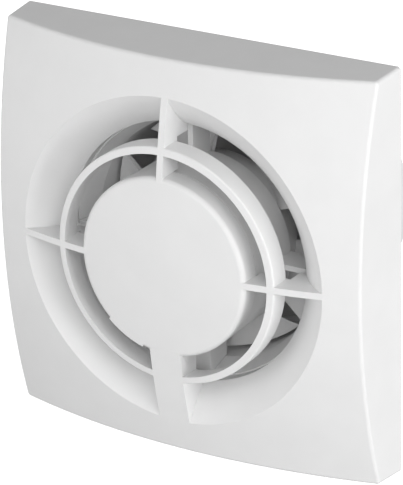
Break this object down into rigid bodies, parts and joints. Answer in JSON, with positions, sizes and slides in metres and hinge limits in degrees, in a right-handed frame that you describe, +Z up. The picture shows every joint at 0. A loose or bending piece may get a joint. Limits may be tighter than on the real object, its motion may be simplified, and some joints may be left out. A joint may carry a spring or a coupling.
{
  "type": "bathroom extractor fan",
  "caption": "Square wall-mounted extractor fan with a domed grille cover, round bell-mouth, axial impeller and duct spigot.",
  "frame": {"origin": "on the duct's axis, in the plane of the wall that the casing is fixed to", "axes": "+Y into the wall along the duct's axis, -Y towards the room, +Z up, +X to the right as seen from the room"},
  "size_m": [0.158, 0.1, 0.158],
  "materials": {
    "cover_plastic": "satin moulded",
    "casing_plastic": "moulded",
    "impeller_plastic": "moulded",
    "shutter_plastic": "moulded",
    "bobbin_plastic": "moulded",
    "block_plastic": "moulded",
    "steel": "plated",
    "laminations": "laminated",
    "bracket_metal": "die cast",
    "rotor_rings": "cast",
    "copper": "enamelled wire",
    "brass": "machined",
    "bronze": "sintered",
    "rubber": "moulded",
    "brown_sheath": "extruded",
    "blue_sheath": "extruded"
  },
  "bodies": {
    "casing": {"back_casing": "casing_plastic", "motor_carrier": "casing_plastic", "motor_cap": "casing_plastic", "shutter_spindle": "steel", "shutter_springs": "steel", "stator_laminations": "laminations", "shading_rings": "copper", "coil_bobbins": "bobbin_plastic", "coil_windings": "copper", "front_bracket": "bracket_metal", "rear_bracket": "bracket_metal", "front_bearing": "bronze", "rear_bearing": "bronze", "bracket_screws": "steel", "motor_screws": "steel", "carrier_screws": "steel", "terminal_block": "block_plastic", "terminal_inserts": "brass", "terminal_screws": "steel", "terminal_block_screw": "steel", "cable_grommet": "rubber", "cable_clamp": "block_plastic", "cable_clamp_screws": "steel", "lead_live": "brown_sheath", "lead_neutral": "blue_sheath"},
    "cover": {"front_cover": "cover_plastic"},
    "rotor": {"impeller": "impeller_plastic", "impeller_bush": "brass", "shaft_retainer": "steel", "motor_shaft": "steel", "rotor_core": "laminations", "rotor_end_rings": "rotor_rings", "thrust_washers": "steel"},
    "flap_right": {"shutter_flap_right": "shutter_plastic"},
    "flap_left": {"shutter_flap_left": "shutter_plastic"}
  },
  "joints": [
    {"name": "cover_pull", "type": "slide", "parent": "casing", "child": "cover", "axis": [0, -1, 0], "range_m": [0, 0.06]},
    {"name": "rotor_spin", "type": "hinge", "parent": "casing", "child": "rotor", "pos_m": [0, 0, 0], "axis": [0, 1, 0], "continuous": true},
    {"name": "flap_right_swing", "type": "hinge", "parent": "casing", "child": "flap_right", "pos_m": [0, 0.034, 0], "axis": [0, 0, 1], "range_deg": [0, 75], "stiffness_Nm_per_rad": 0.0008, "springref_deg": -17.19},
    {"name": "flap_left_swing", "type": "hinge", "parent": "casing", "child": "flap_left", "pos_m": [0, 0.034, 0], "axis": [0, 0, -1], "range_deg": [0, 75], "stiffness_Nm_per_rad": 0.0008, "springref_deg": -17.19}
  ]
}
